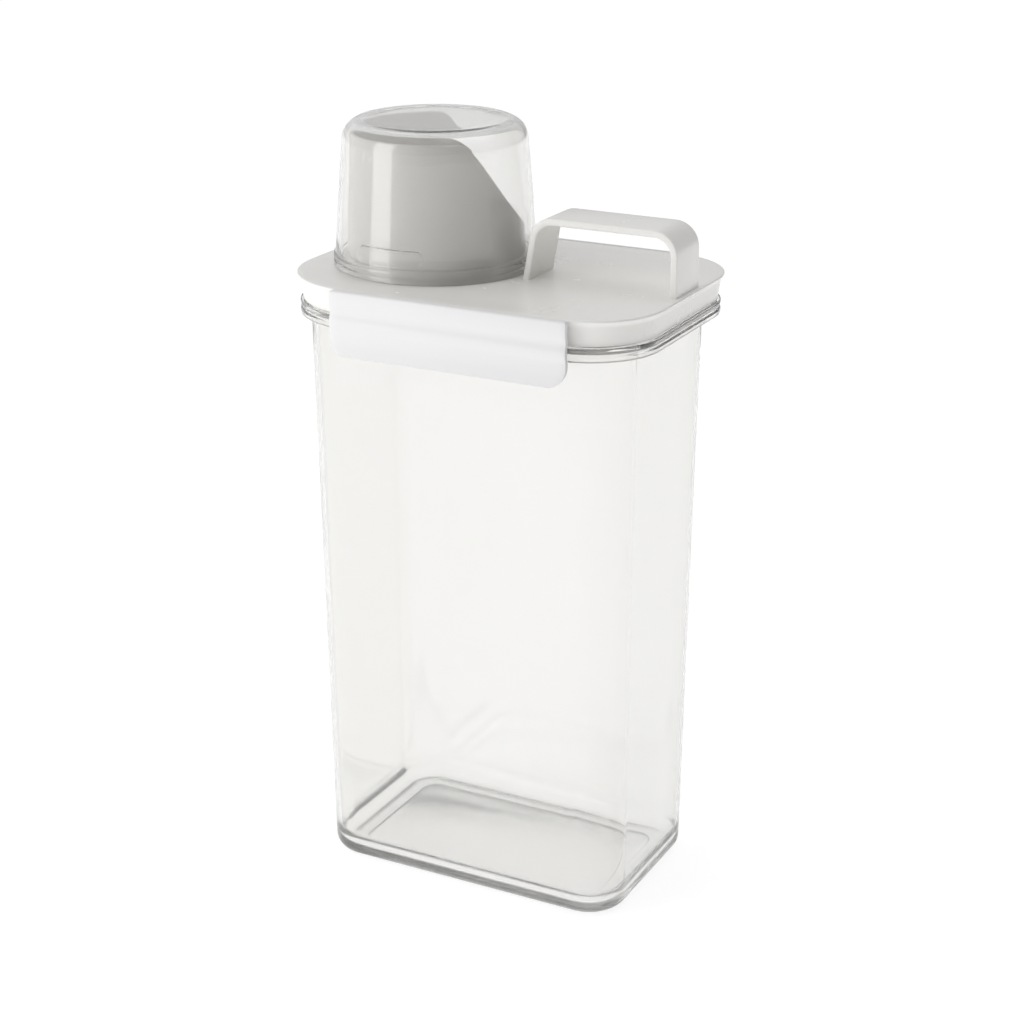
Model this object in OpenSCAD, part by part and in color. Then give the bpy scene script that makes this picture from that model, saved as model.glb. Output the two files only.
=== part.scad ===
// Clear rectangular refill container with a latched white lid, a pouring
// spout, a carrying handle and a clear measuring cup that caps the spout.
// Millimetres, +Z up. The origin is the centre of the container's underside.

/* [Container] */
// Outside length of the container's wall just under the rim
body_len = 129.6; // [126:0.2:132]
// Outside depth of the container's wall just under the rim
body_dep = 84.6; // [80:0.2:86]
// How much each end wall leans in from the rim to the base
draft = 2; // [0.5:0.1:4]
// How much the front and back walls lean in from the rim to the base
draft_y = 3.1; // [0:0.1:4]
// Radius round the edge of the underside
foot_r = 5.2; // [1:0.1:7]
// Radius of the upright corners, outside
corner_r = 15.6; // [12:0.2:18]
// Wall thickness
wall = 1.8; // [1.2:0.1:3]
// Thickness of the floor
floor_t = 3; // [2.2:0.1:5]
// Radius inside, between floor and walls
floor_fillet = 9; // [4:0.5:14]
// Height of the rim flange's upper face
rim_z = 225.6; // [180:0.1:260]
// How far the rim flange stands out past the wall, along the length
flange_out_x = 7.2; // [6:0.1:8]
// How far the rim flange stands out past the wall, along the depth
flange_out_y = 9; // [8:0.1:9.6]
// Height of the rim flange
flange_h = 5.1; // [4.6:0.1:6]
// Height of the neck lip above the flange
lip_h = 5.6; // [4.4:0.1:6]
// Length of the recessed panel under the floor
panel_len = 101; // [80:1:102]
// Depth of the recessed panel under the floor
panel_dep = 55; // [40:1:58]
// How deep the panel is recessed
panel_cut = 0.5; // [0.3:0.1:1.2]

/* [Lid] */
// Length of the lid
lid_len = 146; // [145:0.2:160]
// Depth of the lid
lid_dep = 104.8; // [104:0.2:116]
// Radius of the lid's corners at the spout end
lid_rs = 35; // [28:0.5:38]
// Radius of the lid's corners at the handle end
lid_rh = 28; // [22:0.5:32]
// Height of the lid, skirt and top plate together
lid_h = 9.6; // [8.6:0.1:11]
// Gap between the skirt and the container's flange
lid_gap = 0.3; // [0.1:0.1:1]
// How much the skirt leans in from its top edge to its lower edge
skirt_in = 2.2; // [1.6:0.1:2.6]
// Thickness of the lid's top plate
lid_t = 2.4; // [1.6:0.1:3]

/* [Spout] */
// Distance of the spout's axis from the middle of the lid
spout_x = 29.4; // [28:0.1:31]
// Outside radius of the spout at the lid
spout_r0 = 33.2; // [31:0.1:33.4]
// Outside radius of the spout at its top
spout_r1 = 30.9; // [28:0.1:31]
// Wall thickness of the spout
spout_t = 1.9; // [1.4:0.1:2.6]
// Height of the spout's lip above the lid
spout_h = 48.6; // [40:0.2:49]
// Direction that the slanting mouth faces, from +X towards +Y
mouth_turn = 35; // [0:5:90]
// Slope of the mouth, from level
mouth_slope = 54.2; // [40:0.2:65]
// Distance from the axis at which the slope starts
mouth_start = 7.2; // [0:0.2:14]
// Radius where the slope leaves the level rim
mouth_round = 7; // [2:0.5:10]

/* [Handle] */
// Width of the handle's strap
strap_w = 20; // [14:0.5:26]
// Thickness of the handle's strap
strap_t = 2.6; // [2:0.1:4]
// Height of the handle above the lid
handle_h = 23.3; // [20:0.1:28]
// Outer radius of the handle's corners
handle_r = 9; // [6:0.5:10]
// How far the handle's inner leg leans over, from upright
handle_lean = 10; // [0:1:14]
// Place of the handle's inner foot
handle_x0 = 11.3; // [10.6:0.1:16]
// Place of the handle's outer foot
handle_x1 = 71.3; // [66:0.1:71.6]

/* [Latches] */
// Width of each latch
latch_w = 92.8; // [70:0.2:94]
// How far each latch sits off centre, towards the handle
latch_x = 4; // [0:0.5:5]
// Height of each latch
latch_h = 23.2; // [21:0.2:28]
// Thickness of each latch
latch_t = 1.8; // [1.4:0.1:2.4]
// Radius of each latch's lower corners
latch_r = 6.5; // [3:0.5:9]
// Gap between the lid's edge and each latch
hinge_gap = 0.2; // [0.1:0.05:0.4]

/* [Measuring cup] */
// Outside radius of the cup just above its rim band
cup_r0 = 37.2; // [36.6:0.1:38]
// Outside radius of the cup at the start of its closed end's rounding
cup_r1 = 34.1; // [33.8:0.1:35]
// Height of the cup
cup_h = 53.2; // [52.8:0.1:58]
// Wall thickness of the cup
cup_t = 1.6; // [1.2:0.1:1.8]
// Rounding of the closed end, outside
cup_round = 7.8; // [5:0.2:9]
// Height of the rim band
band_h = 4.3; // [3:0.1:5]
// How far the rim band stands out
band_out = 0.8; // [0.4:0.1:1.4]

/* [Hidden] */
lid_top = rim_z + lid_gap + lid_h;
lid_under = lid_top - lid_t;
bx = body_len / 2;
by = body_dep / 2;
fx = bx + flange_out_x;
fy = by + flange_out_y;
lx = lid_len / 2;
ly = lid_dep / 2;
skirt_z = rim_z + lid_gap;
lip_z = rim_z + lip_h;
flange_z = rim_z - flange_h;
cup_z = lid_top + 0.2;
cup_top = cup_z + cup_h;
$fn = 72;

// Outline of a rounded rectangle, half length a, half depth b. Its corner
// radius is r at the handle end and rs at the spout end.
function rr_pts(a, b, r, n, rs) = [
    for (q = [0 : 3]) for (k = [0 : n])
        let (t = 90 * q + 90 * k / n,
             sx = (q == 0 || q == 3) ? 1 : -1,
             sy = (q < 2) ? 1 : -1,
             c = (sx > 0) ? r : rs)
        [sx * (a - c) + c * cos(t), sy * (b - c) + c * sin(t)]
];
module plate(a, b, r, z, h = 0.01, n = 9) {
    translate([0, 0, z]) linear_extrude(h) polygon(rr_pts(a, b, r, n, r));
}
// plate of the lid's outline, taken in by o all round
module lid_plate(o, z, h = 0.01) {
    translate([0, 0, z]) linear_extrude(h) polygon(rr_pts(lx - o, ly - o, lid_rh - o, 12, lid_rs - o));
}
// plate of the rim flange's outline, taken in by o all round
module flange_plate(o, z, h) {
    translate([0, 0, z]) linear_extrude(h)
        polygon(rr_pts(fx - o, fy - o, lid_rh - 1 - o, 12, lid_rs - 1 - o));
}
// Inset of the tapering wall at height z
function lean(z) = draft * (1 - z / (rim_z - flange_h));
function lean_y(z) = draft_y * (1 - z / (rim_z - flange_h));

// ---- container ----
module container_outside() {
    e = foot_r;
    hull() {
        for (t = [0 : 15 : 90])
            let (o = e * (1 - sin(t)), z = e * (1 - cos(t)))
            plate(bx - o - lean(z), by - o - lean_y(z), corner_r - o, z);
        plate(bx - lean(lip_z), by - lean_y(lip_z), corner_r, lip_z - 0.01);
    }
}

module container_inside() {
    f = floor_fillet;
    hull() {
        for (t = [0 : 11.25 : 90])
            let (z = floor_t + f * (1 - cos(t)),
                 o = f * (1 - sin(t)) + wall)
            plate(bx - o - lean(z), by - o - lean_y(z), max(corner_r - o, 3.2), z);
        plate(bx - wall - lean(lip_z), by - wall - lean_y(lip_z), corner_r - wall, lip_z + 1);
    }
}

module container() {
    color([0.93, 0.95, 0.96, 0.35])
    difference() {
        union() {
            container_outside();
            // rim flange: a level shelf with a turned-down edge
            difference() {
                flange_plate(0, flange_z, flange_h);
                flange_plate(2, flange_z - 1, flange_h - 1);
                // groove round the flange's edge, between its two ridges
                difference() {
                    flange_plate(-1, flange_z + 2.2, 1.3);
                    flange_plate(0.7, flange_z + 2, 2);
                }
            }
        }
        container_inside();
        plate(panel_len / 2, panel_dep / 2, 6, -1, 1 + panel_cut);
    }
}

// ---- lid, with its spout, handle and sealing walls in one moulding ----
module spout_tube() {
    r = 0.8;
    zt = lid_top + spout_h;
    rotate_extrude($fn = 96)
        polygon(concat(
            [[spout_r0 - spout_t, lid_under], [spout_r0, lid_under], [spout_r0, lid_top]],
            [for (t = [0 : 15 : 90]) [spout_r1 - r + r * cos(t), zt - r + r * sin(t)]],
            [for (t = [90 : 15 : 180]) [spout_r1 - spout_t + r + r * cos(t), zt - r + r * sin(t)]]
        ));
}
// side view of the space that the spout's wall may fill: a level rim that
// rounds over into the slanting mouth
module mouth_outline() {
    zt = lid_top + spout_h + 0.01;
    d = mouth_round * tan(mouth_slope / 2);
    c = [mouth_start - d, zt - mouth_round];
    t1 = [mouth_start + d * cos(mouth_slope), zt - d * sin(mouth_slope)];
    polygon(concat(
        [[-60, lid_under - 5], [-60, zt]],
        [for (k = [0 : 8]) let (a = 90 - mouth_slope * k / 8)
            [c[0] + mouth_round * cos(a), c[1] + mouth_round * sin(a)]],
        [[t1[0] + 60 * cos(mouth_slope), t1[1] - 60 * sin(mouth_slope)],
         [t1[0] + 60 * cos(mouth_slope), lid_under - 5]]
    ));
}
module spout() {
    translate([-spout_x, 0, 0])
    intersection() {
        spout_tube();
        rotate([0, 0, mouth_turn]) rotate([90, 0, 0])
            translate([0, 0, -60]) linear_extrude(120) mouth_outline();
    }
}
// side view of the handle: two legs and a bar with rounded corners
function handle_path(t) = let (
        lean_a = handle_lean, r = handle_r - t, zt = lid_top + handle_h,
        cl = [handle_x0 + (handle_h - handle_r + handle_r * sin(lean_a)) * tan(lean_a) + handle_r * cos(lean_a), zt - handle_r],
        cr = [handle_x1 - 0.2 - handle_r, zt - handle_r],
        pl = [cl[0] - r * cos(lean_a), cl[1] + r * sin(lean_a)])
    concat(
        [[pl[0] - (pl[1] - lid_top + 1) * tan(lean_a), lid_top - 1]],
        [for (k = [0 : 8]) let (a = 180 - lean_a - (90 - lean_a) * k / 8)
            [cl[0] + r * cos(a), cl[1] + r * sin(a)]],
        [for (k = [0 : 8]) let (a = 90 - 89.3 * k / 8)
            [cr[0] + r * cos(a), cr[1] + r * sin(a)]],
        [[handle_x1 - t, lid_top - 1]]
    );
module handle() {
    translate([0, strap_w / 2, 0]) rotate([90, 0, 0])
    linear_extrude(strap_w)
    difference() {
        polygon(handle_path(0));
        polygon(handle_path(strap_t));
    }
}
module lid() {
    color([0.93, 0.93, 0.92])
    difference() {
        union() {
            // top plate with its brim, and the skirt under it
            difference() {
                union() {
                    hull() {
                        lid_plate(0.4, lid_top - 0.01);
                        lid_plate(0.1, lid_top - 0.12);
                        lid_plate(0, lid_top - 0.45);
                        lid_plate(0.25, lid_top - 0.9);
                        lid_plate(1.1, lid_top - 2.2);
                    }
                    hull() {
                        lid_plate(1.1, lid_top - 2.2);
                        lid_plate(skirt_in, skirt_z);
                    }
                }
                lid_plate(skirt_in + 1.9, skirt_z - 1, lid_under - skirt_z + 1);
                // the gasket's groove runs past the skirt's wider corners
                plate(bx + 1.6, by + 1.6, corner_r + 1.6, skirt_z - 1, lid_under - skirt_z + 1);
            }
            // plug wall that enters the container's mouth
            difference() {
                plate(bx - wall - 0.7, by - wall - 0.7, corner_r - wall - 0.7, lid_under - 10.4, 10.6);
                plate(bx - wall - 2.3, by - wall - 2.3, corner_r - wall - 2.3, lid_under - 11, 11);
            }
            // wall outside the gasket
            difference() {
                plate(bx + 2.8, by + 2.8, corner_r + 2.8, lid_under - 3, 3.2);
                plate(bx + 1.6, by + 1.6, corner_r + 1.6, lid_under - 4, 4);
            }
            // low collar that centres the cup
            translate([-spout_x, 0, lid_top - 1]) cylinder(h = 5.6, r = 34.6, $fn = 96);
            handle();
        }
        // passage up into the spout
        translate([-spout_x, 0, lid_under - 1]) cylinder(h = 20, r = spout_r0 - spout_t + 0.2, $fn = 96);
    }
    color([0.93, 0.93, 0.92]) spout();
}

// ---- gasket ----
module lid_gasket() {
    color([0.86, 0.87, 0.88])
    difference() {
        union() {
            plate(bx + 1.5, by + 1.5, corner_r + 1.5, lip_z, lid_under - lip_z);
            plate(bx + 1.5, by + 1.5, corner_r + 1.5, lip_z - 0.9, 1);
        }
        plate(bx - wall - 0.5, by - wall - 0.5, corner_r - wall - 0.5, lip_z - 2, 6);
        // seat for the container's lip
        plate(bx + 0.4, by + 0.4, corner_r + 0.4, lip_z - 2, 2);
    }
}

// ---- latches ----
// outer face of the latch, measured out from the lid's edge, against depth below the lid's top
function latch_face(s) = let (
        k = [[0, 1.6], [0.35, 2.1], [1, 2.3], [3.2, 2.55], [5.4, 2.45], [7.2, 2.05], [8.6, 2.1], [10.4, 2.6],
             [12.4, 2.55], [14.2, 2.1], [16, 2.1], [18.5, 2.4], [20.8, 3.0], [23, 3.7], [latch_h, 3.9]])
    lookup(s, k);
function latch_back(s) = max(latch_face(s) - latch_t, hinge_gap);
module latch_section() {
    // depths at which the two faces are set out, and the hook's place
    d = [0, 0.15, 0.35, 0.6, 1, 2, 3.2, 4.3, 5.4, 6.3, 7.2, 7.9, 8.6, 9.5, 10.4, 11.4, 12.4, 13.3, 14.2, 16, 17.2, 18.5, 19.6, 20.8, 22, 23, latch_h];
    n = len(d);
    h = lid_top - flange_z + 0.3;
    polygon(concat(
        [for (i = [0 : n - 1]) [-latch_face(d[i]), -d[i]]],
        [for (i = [n - 1 : -1 : 0]) if (d[i] > h + 2.9) [-latch_back(d[i]), -d[i]]],
        // hook that grips under the flange
        [[-latch_back(h + 2.8), -(h + 2.8)], [2.1, -(h + 0.6)], [1.9, -h], [-latch_back(h), -h]],
        [for (i = [n - 1 : -1 : 0]) if (d[i] < h - 0.1) [-latch_back(d[i]), -d[i]]]
    ));
}
module latch_outline() {
    w = latch_w / 2;
    r = latch_r;
    polygon(concat(
        [[w, 0], [-w, 0]],
        [for (k = [0 : 9]) [-w + r - r * cos(10 * k), -latch_h + r - r * sin(10 * k)]],
        [for (k = [0 : 9]) [w - r + r * sin(10 * k), -latch_h + r - r * cos(10 * k)]]
    ));
}
module latch() {
    translate([latch_x, -ly, lid_top])
    intersection() {
        translate([-latch_w / 2, 0, 0]) rotate([90, 0, 90]) linear_extrude(latch_w) latch_section();
        translate([0, 10, 0]) rotate([90, 0, 0]) linear_extrude(20) latch_outline();
    }
}
module front_latch() { color([0.96, 0.96, 0.96]) latch(); }
module back_latch() { color([0.96, 0.96, 0.96]) mirror([0, 1, 0]) latch(); }

// ---- measuring cup, upside down over the spout ----
module cup_shell() {
    ri = 6;
    zt = cup_top;
    zi = cup_top - 1.8;
    zr = cup_z + band_h;
    rotate_extrude($fn = 96)
    polygon(concat(
        [[0, zt]],
        [for (t = [90 : -10 : 0]) [cup_r1 - cup_round + cup_round * cos(t), zt - cup_round + cup_round * sin(t)]],
        // wall, then the rim band with its two ridges
        [[cup_r0, zr + 0.5], [cup_r0 + band_out - 0.2, zr], [cup_r0 + band_out, zr - 0.3], [cup_r0 + band_out, zr - 1.6],
         [cup_r0 + band_out - 0.45, zr - 1.9], [cup_r0 + band_out - 0.45, zr - 2.2], [cup_r0 + band_out, zr - 2.5],
         [cup_r0 + band_out, cup_z + 0.4], [cup_r0 + band_out - 0.4, cup_z], [cup_r0 - cup_t + 0.3, cup_z],
         [cup_r0 - cup_t, cup_z + 0.3], [cup_r0 - cup_t, zr]],
        [for (t = [0 : 15 : 90]) [cup_r1 - cup_t - ri + ri * cos(t), zi - ri + ri * sin(t)]],
        [[0, zi]]
    ));
}
module measuring_cup() {
    color([0.93, 0.95, 0.96, 0.35])
    translate([-spout_x, 0, 0]) {
        cup_shell();
        // grip pads inside the rim, front and back
        for (a = [0, 180]) rotate([0, 0, a])
        intersection() {
            rotate_extrude($fn = 96) translate([34.9, cup_z + 6]) square([1.2, 5.6]);
            translate([-13, -40, cup_z]) cube([26, 20, 20]);
        }
    }
}

container();
lid();
lid_gasket();
front_latch();
back_latch();
measuring_cup();
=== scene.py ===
import math

import bmesh
import bpy
from mathutils import Matrix, Vector


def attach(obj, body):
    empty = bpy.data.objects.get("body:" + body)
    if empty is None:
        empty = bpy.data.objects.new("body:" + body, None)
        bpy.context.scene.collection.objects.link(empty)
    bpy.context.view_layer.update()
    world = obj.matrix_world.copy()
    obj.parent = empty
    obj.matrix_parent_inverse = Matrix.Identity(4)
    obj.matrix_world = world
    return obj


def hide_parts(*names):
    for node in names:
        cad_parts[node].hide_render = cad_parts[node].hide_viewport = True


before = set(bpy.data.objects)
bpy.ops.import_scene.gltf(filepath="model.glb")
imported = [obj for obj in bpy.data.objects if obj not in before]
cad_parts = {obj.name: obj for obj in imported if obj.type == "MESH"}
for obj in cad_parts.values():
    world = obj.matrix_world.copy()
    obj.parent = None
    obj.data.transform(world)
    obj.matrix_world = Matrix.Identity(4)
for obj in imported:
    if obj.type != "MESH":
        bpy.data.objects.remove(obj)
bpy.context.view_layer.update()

MM = 0.001
# ---------------------------------------------------------------- sizes, in mm
BX, BY = 64.8, 42.3            # container wall at the rim, half sizes
DRAFT, DRAFT_Y, CORNER, WALL = 2.0, 3.1, 15.6, 1.8
FOOT_R = 5.2
FLOOR_T, FILLET = 3.0, 9.0
RIM_Z, FLANGE_H, LIP_H = 225.6, 5.1, 5.6
FX, FY = BX + 7.2, BY + 9.0
FLANGE_Z = RIM_Z - FLANGE_H
LIP_Z = RIM_Z + LIP_H
LX, LY = 73.0, 52.4            # lid, half sizes
LRH, LRS = 28.0, 35.0          # lid corners, handle end and spout end
LID_TOP = 235.5
LID_T = 2.4
LID_UNDER = LID_TOP - LID_T
SKIRT_Z = 225.9
SKIRT_IN = 2.2
SPOUT_X = -29.4
SPOUT_R0, SPOUT_R1, SPOUT_T, SPOUT_H = 33.2, 30.9, 1.9, 48.6
MOUTH_TURN, MOUTH_SLOPE, MOUTH_START, MOUTH_ROUND = 35.0, 54.2, 7.2, 7.0
STRAP_W, STRAP_T, HANDLE_H, HANDLE_R = 20.0, 2.6, 23.3, 9.0
HX0, HX1, HANDLE_LEAN = 11.3, 71.3, 10.0
LATCH_W, LATCH_H, LATCH_T, LATCH_R, HINGE_GAP = 92.8, 23.2, 1.8, 6.5, 0.2
LATCH_X = 4.0
CUP_R0, CUP_R1, CUP_H, CUP_T, CUP_ROUND = 37.2, 34.1, 53.2, 1.6, 7.8
BAND_H, BAND_OUT = 4.3, 0.8
CUP_Z = LID_TOP + 0.2
CUP_TOP = CUP_Z + CUP_H


def lean(z):
    """How far the end walls and the side walls lean in at height z."""
    k = 1 - z / (RIM_Z - FLANGE_H)
    return DRAFT * k, DRAFT_Y * k


# ---------------------------------------------------------------- mesh helpers
def add_object(name, verts, faces, smooth=True):
    me = bpy.data.meshes.new(name)
    me.from_pydata([Vector(v) * MM for v in verts], [], faces)
    me.validate()
    me.update()
    ob = bpy.data.objects.new(name, me)
    bpy.context.scene.collection.objects.link(ob)
    if smooth:
        me.shade_smooth()
    return ob


def fix_normals(ob):
    bm = bmesh.new()
    bm.from_mesh(ob.data)
    bmesh.ops.recalc_face_normals(bm, faces=bm.faces)
    bm.to_mesh(ob.data)
    bm.free()


def outline(a, b, r, n=20):
    """Rounded rectangle, half sizes a and b, anticlockwise. r is the corner
    radius, or a pair: handle end, spout end."""
    pts = []
    for q, (sx, sy) in enumerate(((1, 1), (-1, 1), (-1, -1), (1, -1))):
        c = r if not isinstance(r, tuple) else r[0 if sx > 0 else 1]
        for k in range(n + 1):
            t = math.radians(90 * q + 90 * k / n)
            pts.append((sx * (a - c) + c * math.cos(t), sy * (b - c) + c * math.sin(t)))
    return pts


def sweep(name, rings, closed=False, n=20):
    """rings: (half length, half depth, corner radius, height). Closed loops wrap, open ones are capped."""
    verts, faces = [], []
    for a, b, r, z in rings:
        verts += [(x, y, z) for x, y in outline(a, b, r, n)]
    m = 4 * (n + 1)
    k = len(rings)
    for i in range(k if closed else k - 1):
        j = (i + 1) % k
        for p in range(m):
            q = (p + 1) % m
            faces.append((i * m + p, i * m + q, j * m + q, j * m + p))
    if not closed:
        faces.append(tuple(range(m))[::-1])
        faces.append(tuple((k - 1) * m + p for p in range(m)))
    ob = add_object(name, verts, faces)
    fix_normals(ob)
    return ob


def revolve(name, profile, centre=(0, 0), n=128, closed=False):
    """profile: (radius, height) pairs. Points on the axis close the surface."""
    verts, faces, index = [], [], []
    for r, z in profile:
        if r < 1e-6:
            index.append([len(verts)] * n)
            verts.append((centre[0], centre[1], z))
        else:
            index.append(list(range(len(verts), len(verts) + n)))
            verts += [(centre[0] + r * math.cos(2 * math.pi * i / n),
                       centre[1] + r * math.sin(2 * math.pi * i / n), z) for i in range(n)]
    k = len(profile)
    for i in range(k if closed else k - 1):
        u, v = index[i], index[(i + 1) % k]
        for p in range(n):
            q = (p + 1) % n
            f = []
            for w in (u[p], u[q], v[q], v[p]):
                if w not in f:
                    f.append(w)
            if len(f) > 2:
                faces.append(tuple(f))
    ob = add_object(name, verts, faces)
    fix_normals(ob)
    return ob


def arc(cx, cz, r, a0, a1, n=6):
    return [(cx + r * math.cos(math.radians(a0 + (a1 - a0) * k / n)),
             cz + r * math.sin(math.radians(a0 + (a1 - a0) * k / n))) for k in range(n + 1)]


def prism(name, pts, depth, matrix):
    """A closed outline (2-D points) extruded by depth, then placed by matrix (mm)."""
    n = len(pts)
    verts = [matrix @ Vector((x, y, 0)) for x, y in pts] + [matrix @ Vector((x, y, depth)) for x, y in pts]
    faces = [tuple(range(n))[::-1], tuple(range(n, 2 * n))]
    faces += [(i, (i + 1) % n, n + (i + 1) % n, n + i) for i in range(n)]
    ob = add_object(name, verts, faces, smooth=False)
    fix_normals(ob)
    return ob


def apply_all(ob):
    deps = bpy.context.evaluated_depsgraph_get()
    me = bpy.data.meshes.new_from_object(ob.evaluated_get(deps))
    old = ob.data
    ob.modifiers.clear()
    ob.data = me
    bpy.data.meshes.remove(old)
    return ob


def boolean(ob, other, how):
    m = ob.modifiers.new("cut", "BOOLEAN")
    m.operation = how
    m.object = other
    m.solver = "EXACT"
    apply_all(ob)
    bpy.data.objects.remove(other)
    return ob


def join(ob, other):
    """Put other's closed mesh into ob's mesh."""
    bm = bmesh.new()
    bm.from_mesh(ob.data)
    bm.from_mesh(other.data)
    bm.to_mesh(ob.data)
    bm.free()
    bpy.data.objects.remove(other)
    return ob


def bevel(ob, width, segments=3, angle=35):
    m = ob.modifiers.new("edge", "BEVEL")
    m.width = width * MM
    m.segments = segments
    m.limit_method = "ANGLE"
    m.angle_limit = math.radians(angle)
    m.harden_normals = False
    apply_all(ob)
    return ob


def shade(ob, angle=32):
    ob.data.shade_smooth()
    ob.data.set_sharp_from_angle(angle=math.radians(angle))
    return ob


# ---------------------------------------------------------------- container
def make_container():
    R = []

    def wallring(z, o=0.0, r=None):
        u, v = lean(z)
        R.append((BX - u - o, BY - v - o, CORNER - o if r is None else r, z))

    def flange(o, z):
        R.append((FX - o, FY - o, (LRH - 1 - o, LRS - 1 - o), z))

    # underside panel, its small step, and the foot ring
    for o, z in ((0.0, 0.5), (0.12, 0.46), (0.3, 0.3), (0.5, 0.12), (0.7, 0.02), (0.85, 0.0)):
        R.append((50.5 + o, 27.5 + o, 6 + o, z))
    for k in range(13):
        t = math.radians(90 * k / 12)
        wallring(FOOT_R * (1 - math.cos(t)), FOOT_R * (1 - math.sin(t)))
    for z in (30, 75, 120, 165, 200, 216):
        wallring(z)
    # under the flange
    for k in range(5):
        t = math.radians(90 * k / 4)
        wallring(RIM_Z - 3.0 + 1.0 * math.sin(t), -1.0 * (1 - math.cos(t)))
    for k in range(5):
        t = math.radians(90 * k / 4)
        flange(2 + 0.8 * (1 - math.sin(t)), RIM_Z - 2.0 - 0.8 * (1 - math.cos(t)))
    flange(1.9, FLANGE_Z + 0.5)
    for k in range(5):
        t = math.radians(180 + 90 * k / 4)
        flange(1.4 - 0.5 * math.cos(t), FLANGE_Z + 0.5 + 0.5 * math.sin(t))
    # outer face: lower ridge, groove, upper ridge
    for k in range(6):
        t = math.radians(-90 + 90 * k / 5)
        flange(0.6 - 0.6 * math.cos(t), FLANGE_Z + 0.6 + 0.6 * math.sin(t))
    for o, z in ((0.0, 1.5), (0.05, 1.8), (0.3, 2.1), (0.6, 2.3), (0.7, 2.5), (0.7, 3.1), (0.6, 3.3), (0.3, 3.5), (0.05, 3.75), (0.0, 4.1)):
        flange(o, FLANGE_Z + z)
    for k in range(1, 6):
        t = math.radians(90 * k / 5)
        flange(0.5 - 0.5 * math.cos(t), RIM_Z - 0.5 + 0.5 * math.sin(t))
    # up the lip and over it
    for k in range(5):
        t = math.radians(90 * k / 4)
        wallring(RIM_Z + 0.6 * (1 - math.cos(t)), -0.6 * (1 - math.sin(t)))
    for k in range(9):
        t = math.radians(180 * k / 8)
        wallring(LIP_Z - 0.9 + 0.9 * math.sin(t), 0.9 - 0.9 * math.cos(t))
    # inside wall and the floor's fillet
    for z in (205, 165, 120, 75, 30):
        wallring(z, WALL)
    for k in range(13):
        t = math.radians(90 * (1 - k / 12))
        f = FILLET
        o = f * (1 - math.sin(t)) + WALL
        wallring(FLOOR_T + f * (1 - math.cos(t)), o, max(CORNER - o, 3.2))
    return shade(sweep("container_body", R, n=24), 60)


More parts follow.
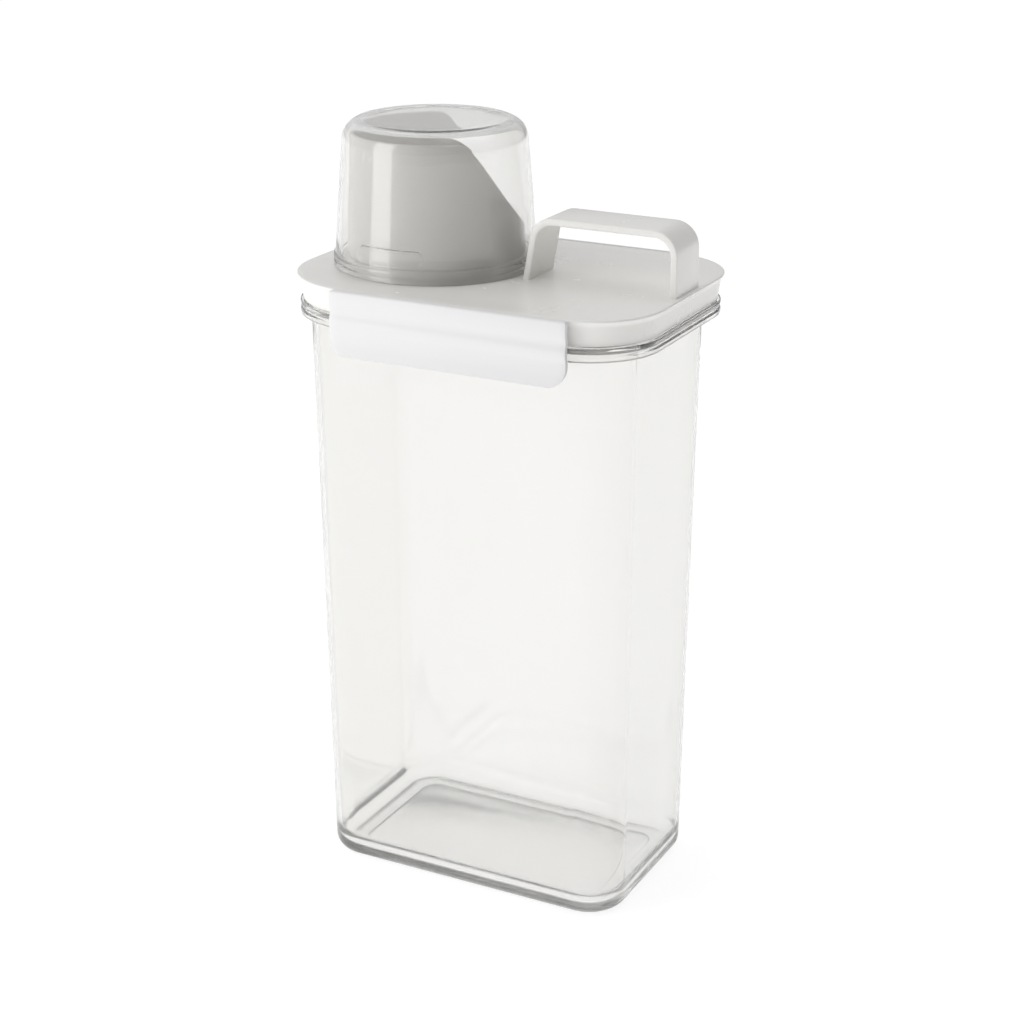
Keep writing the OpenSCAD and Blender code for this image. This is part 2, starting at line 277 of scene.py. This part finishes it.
# ---------------------------------------------------------------- lid
def make_lid():
    R = []

    def lidring(o, z):
        R.append((LX - o, LY - o, (LRH - o, LRS - o), z))

    def plug(o, z):
        R.append((BX - WALL - 0.7 - o, BY - WALL - 0.7 - o, CORNER - WALL - 0.7 - o, z))

    def rib(o, z):
        R.append((BX + 2.8 - o, BY + 2.8 - o, CORNER + 2.8 - o, z))

    lidring(3.0, LID_TOP)
    for k in range(6):
        t = math.radians(90 - 90 * k / 5)
        lidring(0.45 - 0.45 * math.cos(t), LID_TOP - 0.45 + 0.45 * math.sin(t))
    # brim, then the skirt that leans in under it
    for o, h in ((0.06, 0.7), (0.22, 0.95), (0.5, 1.35), (0.8, 1.75), (1.02, 2.15), (1.16, 2.6), (1.27, 3.2), (1.4, 4.0), (1.58, 5.2), (1.76, 6.4), (1.95, 7.6)):
        lidring(o, LID_TOP - h)
    lidring(SKIRT_IN - 0.06, SKIRT_Z + 0.9)
    for k in range(5):
        t = math.radians(-90 * k / 4)
        lidring(SKIRT_IN + 0.3 - 0.3 * math.cos(t), SKIRT_Z + 0.3 + 0.3 * math.sin(t))
    lidring(SKIRT_IN + 1.7, SKIRT_Z)
    lidring(SKIRT_IN + 1.9, SKIRT_Z + 0.2)
    lidring(SKIRT_IN + 1.9, LID_UNDER - 0.5)
    lidring(SKIRT_IN + 2.4, LID_UNDER)
    rib(-0.3, LID_UNDER)
    rib(0, LID_UNDER - 0.4)
    rib(0, LID_UNDER - 2.8)
    rib(0.2, LID_UNDER - 3.0)
    rib(1.0, LID_UNDER - 3.0)
    rib(1.2, LID_UNDER - 2.8)
    rib(1.2, LID_UNDER)
    plug(0, LID_UNDER)
    plug(0, LID_UNDER - 9.6)
    plug(0.4, LID_UNDER - 10.3)
    plug(0.8, LID_UNDER - 10.4)
    plug(1.2, LID_UNDER - 10.3)
    plug(1.6, LID_UNDER - 9.8)
    plug(1.6, LID_UNDER - 0.5)
    plug(2.1, LID_UNDER)
    shell = sweep("lid_moulding", R, n=24)

    # collar that centres the cup, with a small fillet where it meets the lid
    c = revolve("collar", [(0, LID_TOP - 1.2), (35.6, LID_TOP - 1.2), (35.6, LID_TOP - 0.02), (35.05, LID_TOP + 0.1), (34.75, LID_TOP + 0.3), (34.6, LID_TOP + 0.7),
                           (34.6, LID_TOP + 4.0), (34.4, LID_TOP + 4.4), (34.0, LID_TOP + 4.6), (0, LID_TOP + 4.6)], (SPOUT_X, 0), 160)
    boolean(shell, c, "UNION")
    h = revolve("hole", [(0, LID_UNDER - 2), (SPOUT_R0 - SPOUT_T - 0.1, LID_UNDER - 2), (SPOUT_R0 - SPOUT_T - 0.1, LID_TOP + 10), (0, LID_TOP + 10)], (SPOUT_X, 0), 160)
    boolean(shell, h, "DIFFERENCE")

    # spout: a tapering tube cut by the slanting mouth
    zt = LID_TOP + SPOUT_H
    e = 0.8
    prof = [(SPOUT_R0 - SPOUT_T - 0.1, LID_UNDER + 0.2), (SPOUT_R0, LID_UNDER + 0.2), (SPOUT_R0, LID_TOP)]
    m = 10
    for k in range(1, m):
        prof.append((SPOUT_R0 + (SPOUT_R1 - SPOUT_R0) * k / m, LID_TOP + (SPOUT_H - e) * k / m))
    prof += arc(SPOUT_R1 - e, zt - e, e, 0, 90, 5)
    prof += arc(SPOUT_R1 - SPOUT_T + e, zt - e, e, 90, 180, 5)
    for k in range(m - 1, 0, -1):
        prof.append((SPOUT_R0 - SPOUT_T + (SPOUT_R1 - SPOUT_R0) * k / m, LID_TOP + (SPOUT_H - e) * k / m))
    prof.append((SPOUT_R0 - SPOUT_T - 0.1, LID_TOP))
    tube = revolve("tube", prof, (0, 0), 160, closed=True)
    s = math.radians(MOUTH_SLOPE)
    d = MOUTH_ROUND * math.tan(s / 2)
    zc = zt + 0.5
    cx, cz = MOUTH_START - d, zt - MOUTH_ROUND
    pts = [(-60, LID_UNDER - 5), (60, LID_UNDER - 5)]
    t1 = (MOUTH_START + d * math.cos(s), zt - d * math.sin(s))
    pts += [(60, t1[1] - (60 - t1[0]) * math.tan(s)) if t1[1] - (60 - t1[0]) * math.tan(s) > LID_UNDER - 5 else (t1[0] + (t1[1] - LID_UNDER + 5) / math.tan(s), LID_UNDER - 5)]
    if pts[2][1] <= LID_UNDER - 5:
        pts = [pts[0], pts[2]]
    for k in range(13):
        a = math.radians(90) - s + s * k / 12
        pts.append((cx + MOUTH_ROUND * math.cos(a), cz + MOUTH_ROUND * math.sin(a) + (0.02 if k > 10 else 0)))
    pts += [(cx - 2, zc), (-60, zc)]
    M = Matrix.Rotation(math.radians(MOUTH_TURN), 4, "Z") @ Matrix.Rotation(math.radians(90), 4, "X") @ Matrix.Translation((0, 0, -60))
    keep = prism("keep", pts, 120, M)
    boolean(tube, keep, "INTERSECT")
    bevel(tube, 0.45, 3, 40)
    tube.data.transform(Matrix.Translation((SPOUT_X * MM, 0, 0)))
    join(shell, tube)

    # handle: a strap with rounded corners and softened edges
    def path(t):
        r = HANDLE_R - t
        zt = LID_TOP + HANDLE_H
        la = math.radians(HANDLE_LEAN)
        cl = (HX0 + (HANDLE_H - HANDLE_R + HANDLE_R * math.sin(la)) * math.tan(la) + HANDLE_R * math.cos(la), zt - HANDLE_R)
        cr = (HX1 - 0.2 - HANDLE_R, zt - HANDLE_R)
        pl = (cl[0] - r * math.cos(la), cl[1] + r * math.sin(la))
        out = [(pl[0] - (pl[1] - LID_TOP + 1) * math.tan(la), LID_TOP - 1)]
        out += arc(cl[0], cl[1], r, 180 - HANDLE_LEAN, 90, 14)
        out += arc(cr[0], cr[1], r, 90, 0.7, 14)
        out += [(HX1 - t, LID_TOP - 1)]
        return out
    pts = path(0) + path(STRAP_T)[::-1]
    M = Matrix.Translation((0, STRAP_W / 2, 0)) @ Matrix.Rotation(math.radians(90), 4, "X")
    strap = prism("strap", pts, STRAP_W, M)
    bevel(strap, 0.55, 4, 50)
    join(shell, strap)
    return shade(shell, 34)


# ---------------------------------------------------------------- latches
FACE = [(0, 1.5), (0.35, 2.1), (1, 2.35), (3.2, 2.55), (5.4, 2.45), (7.2, 2.05), (8.6, 2.1), (10.4, 2.6),
        (12.4, 2.55), (14.2, 2.1), (16, 2.1), (18.5, 2.4), (20.6, 2.95), (22.3, 3.5), (23.2, 3.85)]


def face_at(s):
    """Smooth curve through FACE: how far the latch's face stands out at depth s."""
    n = len(FACE)
    for i in range(n - 1):
        if s <= FACE[i + 1][0]:
            break
    x0, y0 = FACE[i]
    x1, y1 = FACE[i + 1]

    def slope(j):
        if j <= 0 or j >= n - 1:
            j = min(max(j, 1), n - 2)
        return (FACE[j + 1][1] - FACE[j - 1][1]) / (FACE[j + 1][0] - FACE[j - 1][0])
    h = x1 - x0
    t = min(max((s - x0) / h, 0), 1)
    m0, m1 = slope(i) * h, slope(i + 1) * h
    return ((2 * t ** 3 - 3 * t ** 2 + 1) * y0 + (t ** 3 - 2 * t ** 2 + t) * m0
            + (-2 * t ** 3 + 3 * t ** 2) * y1 + (t ** 3 - t ** 2) * m1)


def make_latch(name, side):
    rows = []
    s = 0.0
    while s < LATCH_H - 1e-6:
        rows.append(s)
        s += 0.25 if s < 1.2 else (0.4 if s < LATCH_H - LATCH_R else 0.25)
    rows.append(LATCH_H)
    W = LATCH_W / 2
    cols = [-1 + 2 * k / 40 for k in range(41)]
    verts, faces = [], []

    def half(s):
        q = s - (LATCH_H - LATCH_R)
        w = W if q <= 0 else W - LATCH_R + math.sqrt(max(LATCH_R ** 2 - q * q, 0))
        if s < 1.0:
            w -= 1.0 - math.sqrt(1 - (1 - s) ** 2)
        return w
    for back in (False, True):
        for s in rows:
            f = face_at(s)
            if back:
                f = max(f - LATCH_T, HINGE_GAP)
            for u in cols:
                verts.append((LATCH_X + u * half(s), -LY - f, LID_TOP - s))
    nc, nr = len(cols), len(rows)
    for i in range(nr - 1):
        for j in range(nc - 1):
            a = i * nc + j
            faces.append((a, a + 1, a + nc + 1, a + nc))
            b = a + nr * nc
            faces.append((b, b + nc, b + nc + 1, b + 1))
    o = nr * nc
    for i in range(nr - 1):
        a, b = i * nc, (i + 1) * nc
        faces.append((a, b, b + o, a + o))
        a, b = i * nc + nc - 1, (i + 1) * nc + nc - 1
        faces.append((a, a + o, b + o, b))
    for j in range(nc - 1):
        faces.append((j, j + o, j + 1 + o, j + 1))
        a = (nr - 1) * nc + j
        faces.append((a, a + 1, a + 1 + o, a + o))
    ob = add_object(name, verts, faces)
    fix_normals(ob)
    bevel(ob, 0.4, 3, 50)
    # hook that grips under the flange
    h = LID_TOP - FLANGE_Z + 0.3
    pts = [(-1.0, -h - 2.9), (-0.2, -h - 2.9), (1.9, -h - 0.75), (2.05, -h - 0.45), (1.95, -h - 0.1), (1.7, -h), (-1.0, -h)]
    M = Matrix.Translation((LATCH_X - W + 1.2, -LY, LID_TOP)) @ Matrix(((0, 0, 1, 0), (1, 0, 0, 0), (0, 1, 0, 0), (0, 0, 0, 1)))
    hook = prism("hook", pts, LATCH_W - 2.4, M)
    boolean(ob, hook, "UNION")
    if side > 0:
        ob.data.transform(Matrix.Diagonal((1, -1, 1, 1)))
        ob.data.flip_normals()
    return shade(ob, 40)


# ---------------------------------------------------------------- measuring cup
def make_cup():
    zt, zi = CUP_TOP, CUP_TOP - 1.8
    zr = CUP_Z + BAND_H
    ri = 6.0
    outer = [(0, zt), (8, zt), (16, zt), (22, zt)]
    outer += arc(CUP_R1 - CUP_ROUND, zt - CUP_ROUND, CUP_ROUND, 90, 0, 16)
    z1 = zt - CUP_ROUND
    for k in range(1, 8):
        t = k / 8
        outer.append((CUP_R1 + (CUP_R0 - CUP_R1) * t, z1 + (zr + 0.8 - z1) * t))
    B = CUP_R0 + BAND_OUT
    outer += [(CUP_R0, zr + 0.8), (CUP_R0 + 0.1, zr + 0.45), (B - 0.25, zr + 0.1), (B - 0.05, zr - 0.1), (B, zr - 0.4), (B, zr - 1.4),
              (B - 0.05, zr - 1.6), (B - 0.55, zr - 1.9), (B - 0.65, zr - 2.05), (B - 0.55, zr - 2.2), (B - 0.05, zr - 2.5), (B, zr - 2.7),
              (B, CUP_Z + 0.45), (B - 0.08, CUP_Z + 0.2), (B - 0.3, CUP_Z + 0.04), (B - 0.5, CUP_Z)]
    inner = [(CUP_R0 - CUP_T + 0.35, CUP_Z), (CUP_R0 - CUP_T + 0.1, CUP_Z + 0.1), (CUP_R0 - CUP_T, CUP_Z + 0.35)]
    P0, P1 = CUP_Z + 6.0, CUP_Z + 11.6
    zs = [zr, P0 - 0.8, P0 - 0.4, P0, P0 + 0.4, P0 + 0.8, P0 + 1.4, P0 + 2.0, P0 + 2.6, P1 - 1.8, P1 - 1.0, P1 - 0.5, P1 - 0.25, P1, P1 + 0.25, P1 + 0.6, CUP_Z + 20, CUP_Z + 30, zi - ri - 4]

    def wall_in(z):
        return (CUP_R0 + (CUP_R1 - CUP_R0) * max(0.0, (z - zr) / (z1 - zr))) - CUP_T
    inner += [(wall_in(z), z) for z in zs]
    rtop = wall_in(zi - ri)
    inner += arc(rtop - ri, zi - ri, ri, 0, 90, 8)
    inner += [(20, zi), (10, zi), (0, zi)]
    prof = outer + inner
    n = 360
    verts, faces, index = [], [], []
    n_out = len(outer)

    def ease(t):
        t = min(max(t, 0), 1)
        return t * t * (3 - 2 * t)

    def pad(x, z):
        """Grip pad inside the wall: a rounded slot, 0 outside to 1 on its face."""
        h = (P1 - P0) / 2
        u, v = max(abs(x) - (13 - h), 0), z - (P0 + P1) / 2
        d = h - math.hypot(u, v)
        return ease(d / (0.5 if v > 0 else 2.2) + 0.5)
    for i, (r, z) in enumerate(prof):
        if r < 1e-6:
            index.append([len(verts)] * n)
            verts.append((SPOUT_X, 0, z))
            continue
        row = []
        for k in range(n):
            a = 2 * math.pi * k / n
            rr = r
            if i >= n_out:
                x = r * math.cos(a)
                rr -= 0.7 * pad(x, z)
            row.append(len(verts))
            verts.append((SPOUT_X + rr * math.cos(a), rr * math.sin(a), z))
        index.append(row)
    for i in range(len(prof) - 1):
        u, v = index[i], index[i + 1]
        for p in range(n):
            q = (p + 1) % n
            f = []
            for w in (u[p], u[q], v[q], v[p]):
                if w not in f:
                    f.append(w)
            if len(f) > 2:
                faces.append(tuple(f))
    ob = add_object("cup_body", verts, faces)
    fix_normals(ob)
    return shade(ob, 60)


# ---------------------------------------------------------------- materials
def new_material(name):
    m = bpy.data.materials.new(name)
    m.use_nodes = True
    nt = m.node_tree
    nt.nodes.clear()
    out = nt.nodes.new("ShaderNodeOutputMaterial")
    p = nt.nodes.new("ShaderNodeBsdfPrincipled")
    nt.links.new(p.outputs[0], out.inputs["Surface"])
    return m, nt, p


def noise(nt, scale, detail=2.0, rough=0.5, stretch=(1, 1, 1)):
    tc = nt.nodes.new("ShaderNodeTexCoord")
    mp = nt.nodes.new("ShaderNodeMapping")
    mp.inputs["Scale"].default_value = stretch
    nt.links.new(tc.outputs["Object"], mp.inputs["Vector"])
    n = nt.nodes.new("ShaderNodeTexNoise")
    n.inputs["Scale"].default_value = scale
    n.inputs["Detail"].default_value = detail
    n.inputs["Roughness"].default_value = rough
    nt.links.new(mp.outputs[0], n.inputs["Vector"])
    return n


def ramp(nt, src, lo, hi):
    r = nt.nodes.new("ShaderNodeMapRange")
    r.inputs["From Min"].default_value = 0.3
    r.inputs["From Max"].default_value = 0.7
    r.inputs["To Min"].default_value = lo
    r.inputs["To Max"].default_value = hi
    nt.links.new(src, r.inputs["Value"])
    return r


def mix_colour(nt, fac, c0, c1):
    m = nt.nodes.new("ShaderNodeMix")
    m.data_type = "RGBA"
    nt.links.new(fac, m.inputs[0])
    m.inputs[6].default_value = (*c0, 1)
    m.inputs[7].default_value = (*c1, 1)
    return m.outputs[2]


def white_plastic(name, base, rough=0.38, sss=0.0):
    m, nt, p = new_material(name)
    big = noise(nt, 18, 2)
    fine = noise(nt, 2600, 2, 0.6)
    c1 = tuple(min(1, v * 1.012) for v in base)
    c0 = tuple(v * 0.988 for v in base)
    nt.links.new(mix_colour(nt, big.outputs["Fac"], c0, c1), p.inputs["Base Color"])
    nt.links.new(ramp(nt, noise(nt, 60, 3).outputs["Fac"], rough - 0.03, rough + 0.03).outputs[0], p.inputs["Roughness"])
    b = nt.nodes.new("ShaderNodeBump")
    b.inputs["Strength"].default_value = 0.12
    b.inputs["Distance"].default_value = 0.00004
    nt.links.new(fine.outputs["Fac"], b.inputs["Height"])
    nt.links.new(b.outputs[0], p.inputs["Normal"])
    p.inputs["IOR"].default_value = 1.49
    return m


def clear_plastic(name, tint, absorb, density, grazing_shade_tint, haze, rough=0.012, ior=1.52, foot=0.0):
    m, nt, p = new_material(name)
    v = nt.nodes.new("ShaderNodeVolumeAbsorption")
    v.inputs["Color"].default_value = (*absorb, 1)
    v.inputs["Density"].default_value = density
    nt.links.new(v.outputs[0], nt.nodes["Material Output"].inputs["Volume"])
    p.inputs["Transmission Weight"].default_value = 1 - haze
    p.inputs["IOR"].default_value = ior
    wav = noise(nt, 9, 2, 0.4, (1, 1, 0.35))
    c0 = tuple(v * 0.994 for v in tint)
    # painted shade: Layer Weight darkens the glass's base colour towards grazing view angles, greying edges and
    # obliquely seen walls
    lw = nt.nodes.new("ShaderNodeLayerWeight")
    lw.inputs["Blend"].default_value = 0.5
    edge = nt.nodes.new("ShaderNodeValToRGB")
    el = edge.color_ramp.elements
    el[0].position, el[0].color = 0.2, (1, 1, 1, 1)
    el[1].position, el[1].color = 1.0, (*grazing_shade_tint, 1)
    for q, c in ((0.32, (0.975, 0.975, 0.97)), (0.6, (0.945, 0.945, 0.935)), (0.85, tuple(0.5 + 0.5 * v for v in grazing_shade_tint))):
        e = el.new(q)
        e.color = (*c, 1)
    nt.links.new(lw.outputs["Facing"], edge.inputs["Fac"])
    mul = nt.nodes.new("ShaderNodeMix")
    mul.data_type = "RGBA"
    mul.blend_type = "MULTIPLY"
    mul.inputs[0].default_value = 1.0
    nt.links.new(mix_colour(nt, wav.outputs["Fac"], c0, tint), mul.inputs[6])
    nt.links.new(edge.outputs["Color"], mul.inputs[7])
    nt.links.new(mul.outputs[2], p.inputs["Base Color"])
    polish = ramp(nt, noise(nt, 40, 3).outputs["Fac"], rough * 0.6, rough * 1.5)
    if foot > 0:
        # less polished towards the underside
        tc = nt.nodes.new("ShaderNodeTexCoord")
        sep = nt.nodes.new("ShaderNodeSeparateXYZ")
        nt.links.new(tc.outputs["Object"], sep.inputs[0])
        low = nt.nodes.new("ShaderNodeMapRange")
        low.interpolation_type = "SMOOTHSTEP"
        low.inputs["From Min"].default_value = 0.020
        low.inputs["From Max"].default_value = 0.010
        low.inputs["To Min"].default_value = 0.0
        low.inputs["To Max"].default_value = foot
        nt.links.new(sep.outputs["Z"], low.inputs["Value"])
        add = nt.nodes.new("ShaderNodeMath")
        nt.links.new(polish.outputs[0], add.inputs[0])
        nt.links.new(low.outputs[0], add.inputs[1])
        nt.links.new(add.outputs[0], p.inputs["Roughness"])
    else:
        nt.links.new(polish.outputs[0], p.inputs["Roughness"])
    b = nt.nodes.new("ShaderNodeBump")
    b.inputs["Strength"].default_value = 0.10
    b.inputs["Distance"].default_value = 0.0006
    nt.links.new(wav.outputs["Fac"], b.inputs["Height"])
    nt.links.new(b.outputs[0], p.inputs["Normal"])
    return m


def silicone(name):
    m, nt, p = new_material(name)
    n = noise(nt, 300, 3)
    nt.links.new(mix_colour(nt, n.outputs["Fac"], (0.70, 0.71, 0.72), (0.78, 0.79, 0.80)), p.inputs["Base Color"])
    p.inputs["Roughness"].default_value = 0.55
    p.inputs["IOR"].default_value = 1.41
    p.inputs["Transmission Weight"].default_value = 0.2
    return m


def put(ob, mat, body, node):
    ob.data.materials.clear()
    ob.data.materials.append(mat)
    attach(ob, body)
    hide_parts(node)


# the fifth argument is the colour of the painted grazing-angle shade on the glass
clear_wall = clear_plastic("clear_wall", (0.992, 0.988, 0.978), (0.40, 0.41, 0.36), 4, (0.76, 0.78, 0.80), 0.07, foot=0.12)
clear_cup = clear_plastic("clear_cup", (0.995, 0.992, 0.984), (0.40, 0.40, 0.36), 3, (0.80, 0.80, 0.82), 0.055, ior=1.46)
lid_white = white_plastic("lid_white", (0.935, 0.925, 0.900), 0.25)
latch_white = white_plastic("latch_white", (0.86, 0.852, 0.863), 0.40)
gasket_mat = silicone("gasket_silicone")

put(make_container(), clear_wall, "vessel", "container")
put(make_lid(), lid_white, "vessel", "lid")
put(make_latch("latch_front", -1), latch_white, "front_latch", "front_latch")
put(make_latch("latch_back", 1), latch_white, "back_latch", "back_latch")
put(make_cup(), clear_cup, "cup", "measuring_cup")
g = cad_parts["lid_gasket"]
g.data.materials.clear()
g.data.materials.append(gasket_mat)

# ---------------------------------------------------------------- floor, light, camera
def make_floor():
    ob = add_object("floor", [(-6000, -6000, -0.2), (6000, -6000, -0.2), (6000, 6000, -0.2), (-6000, 6000, -0.2)], [(0, 1, 2, 3)])
    m = bpy.data.materials.new("floor_pale")
    m.use_nodes = True
    p = m.node_tree.nodes["Principled BSDF"]
    p.inputs["Base Color"].default_value = (0.3, 0.3, 0.3, 1)
    p.inputs["Roughness"].default_value = 0.9
    p.inputs["Specular IOR Level"].default_value = 0.0
    p.inputs["Emission Color"].default_value = (1, 1, 1, 1)
    p.inputs["Emission Strength"].default_value = 0.84
    ob.data.materials.append(m)


make_floor()

world = bpy.data.worlds.new("studio")
bpy.context.scene.world = world
world.use_nodes = True
wn = world.node_tree
wn.nodes.clear()
wout = wn.nodes.new("ShaderNodeOutputWorld")
bg = wn.nodes.new("ShaderNodeBackground")
wn.links.new(bg.outputs[0], wout.inputs["Surface"])
tc = wn.nodes.new("ShaderNodeTexCoord")
dot = wn.nodes.new("ShaderNodeVectorMath")
dot.operation = "DOT_PRODUCT"
dot.inputs[1].default_value = Vector((-0.75, 0.15, 0.64)).normalized()
wn.links.new(tc.outputs["Generated"], dot.inputs[0])
lev = wn.nodes.new("ShaderNodeMath")
lev.operation = "MULTIPLY_ADD"
lev.use_clamp = False
lev.inputs[1].default_value = 0.50
lev.inputs[2].default_value = 0.38
wn.links.new(dot.outputs["Value"], lev.inputs[0])
wn.links.new(lev.outputs[0], bg.inputs["Strength"])
bg.inputs["Color"].default_value = (1, 1, 1, 1)


def area(name, loc, target, size, power, size_y=None, colour=(1, 1, 1)):
    d = bpy.data.lights.new(name, "AREA")
    d.shape = "RECTANGLE"
    d.size = size
    d.size_y = size_y or size
    d.energy = power
    d.color = colour
    o = bpy.data.objects.new(name, d)
    o.location = loc
    o.rotation_euler = (Vector(target) - Vector(loc)).to_track_quat("-Z", "Y").to_euler()
    o.visible_camera = False
    bpy.context.scene.collection.objects.link(o)
    return o


area("softbox", (-0.45, -0.56, 0.38), (-0.03, 0, 0.25), 0.34, 1.9, 0.74)
area("overhead", (0.30, 0.30, 1.35), (0.02, 0, 0.24), 0.8, 1.5)

cam_d = bpy.data.cameras.new("camera")
cam = bpy.data.objects.new("camera", cam_d)
bpy.context.scene.collection.objects.link(cam)
bpy.context.scene.camera = cam
cam_d.sensor_width = 36
cam_d.lens = 76.09
cam_d.clip_start = 0.01
cam_d.clip_end = 50
th, ph = math.radians(27.42), math.radians(20.488)
Rv = Vector((math.cos(th), math.sin(th), 0))
Fv = Vector((-math.sin(th) * math.cos(ph), math.cos(th) * math.cos(ph), -math.sin(ph)))
Uv = Rv.cross(Fv)
rot = Matrix((Rv, Uv, -Fv)).transposed()
cam.matrix_world = Matrix.Translation((0.35582, -0.68210, 0.42886)) @ rot.to_4x4()

sc = bpy.context.scene
sc.view_settings.view_transform = "Standard"
sc.cycles.max_bounces = 24
sc.cycles.transmission_bounces = 20
sc.cycles.transparent_max_bounces = 16
sc.cycles.glossy_bounces = 8
sc.cycles.diffuse_bounces = 5
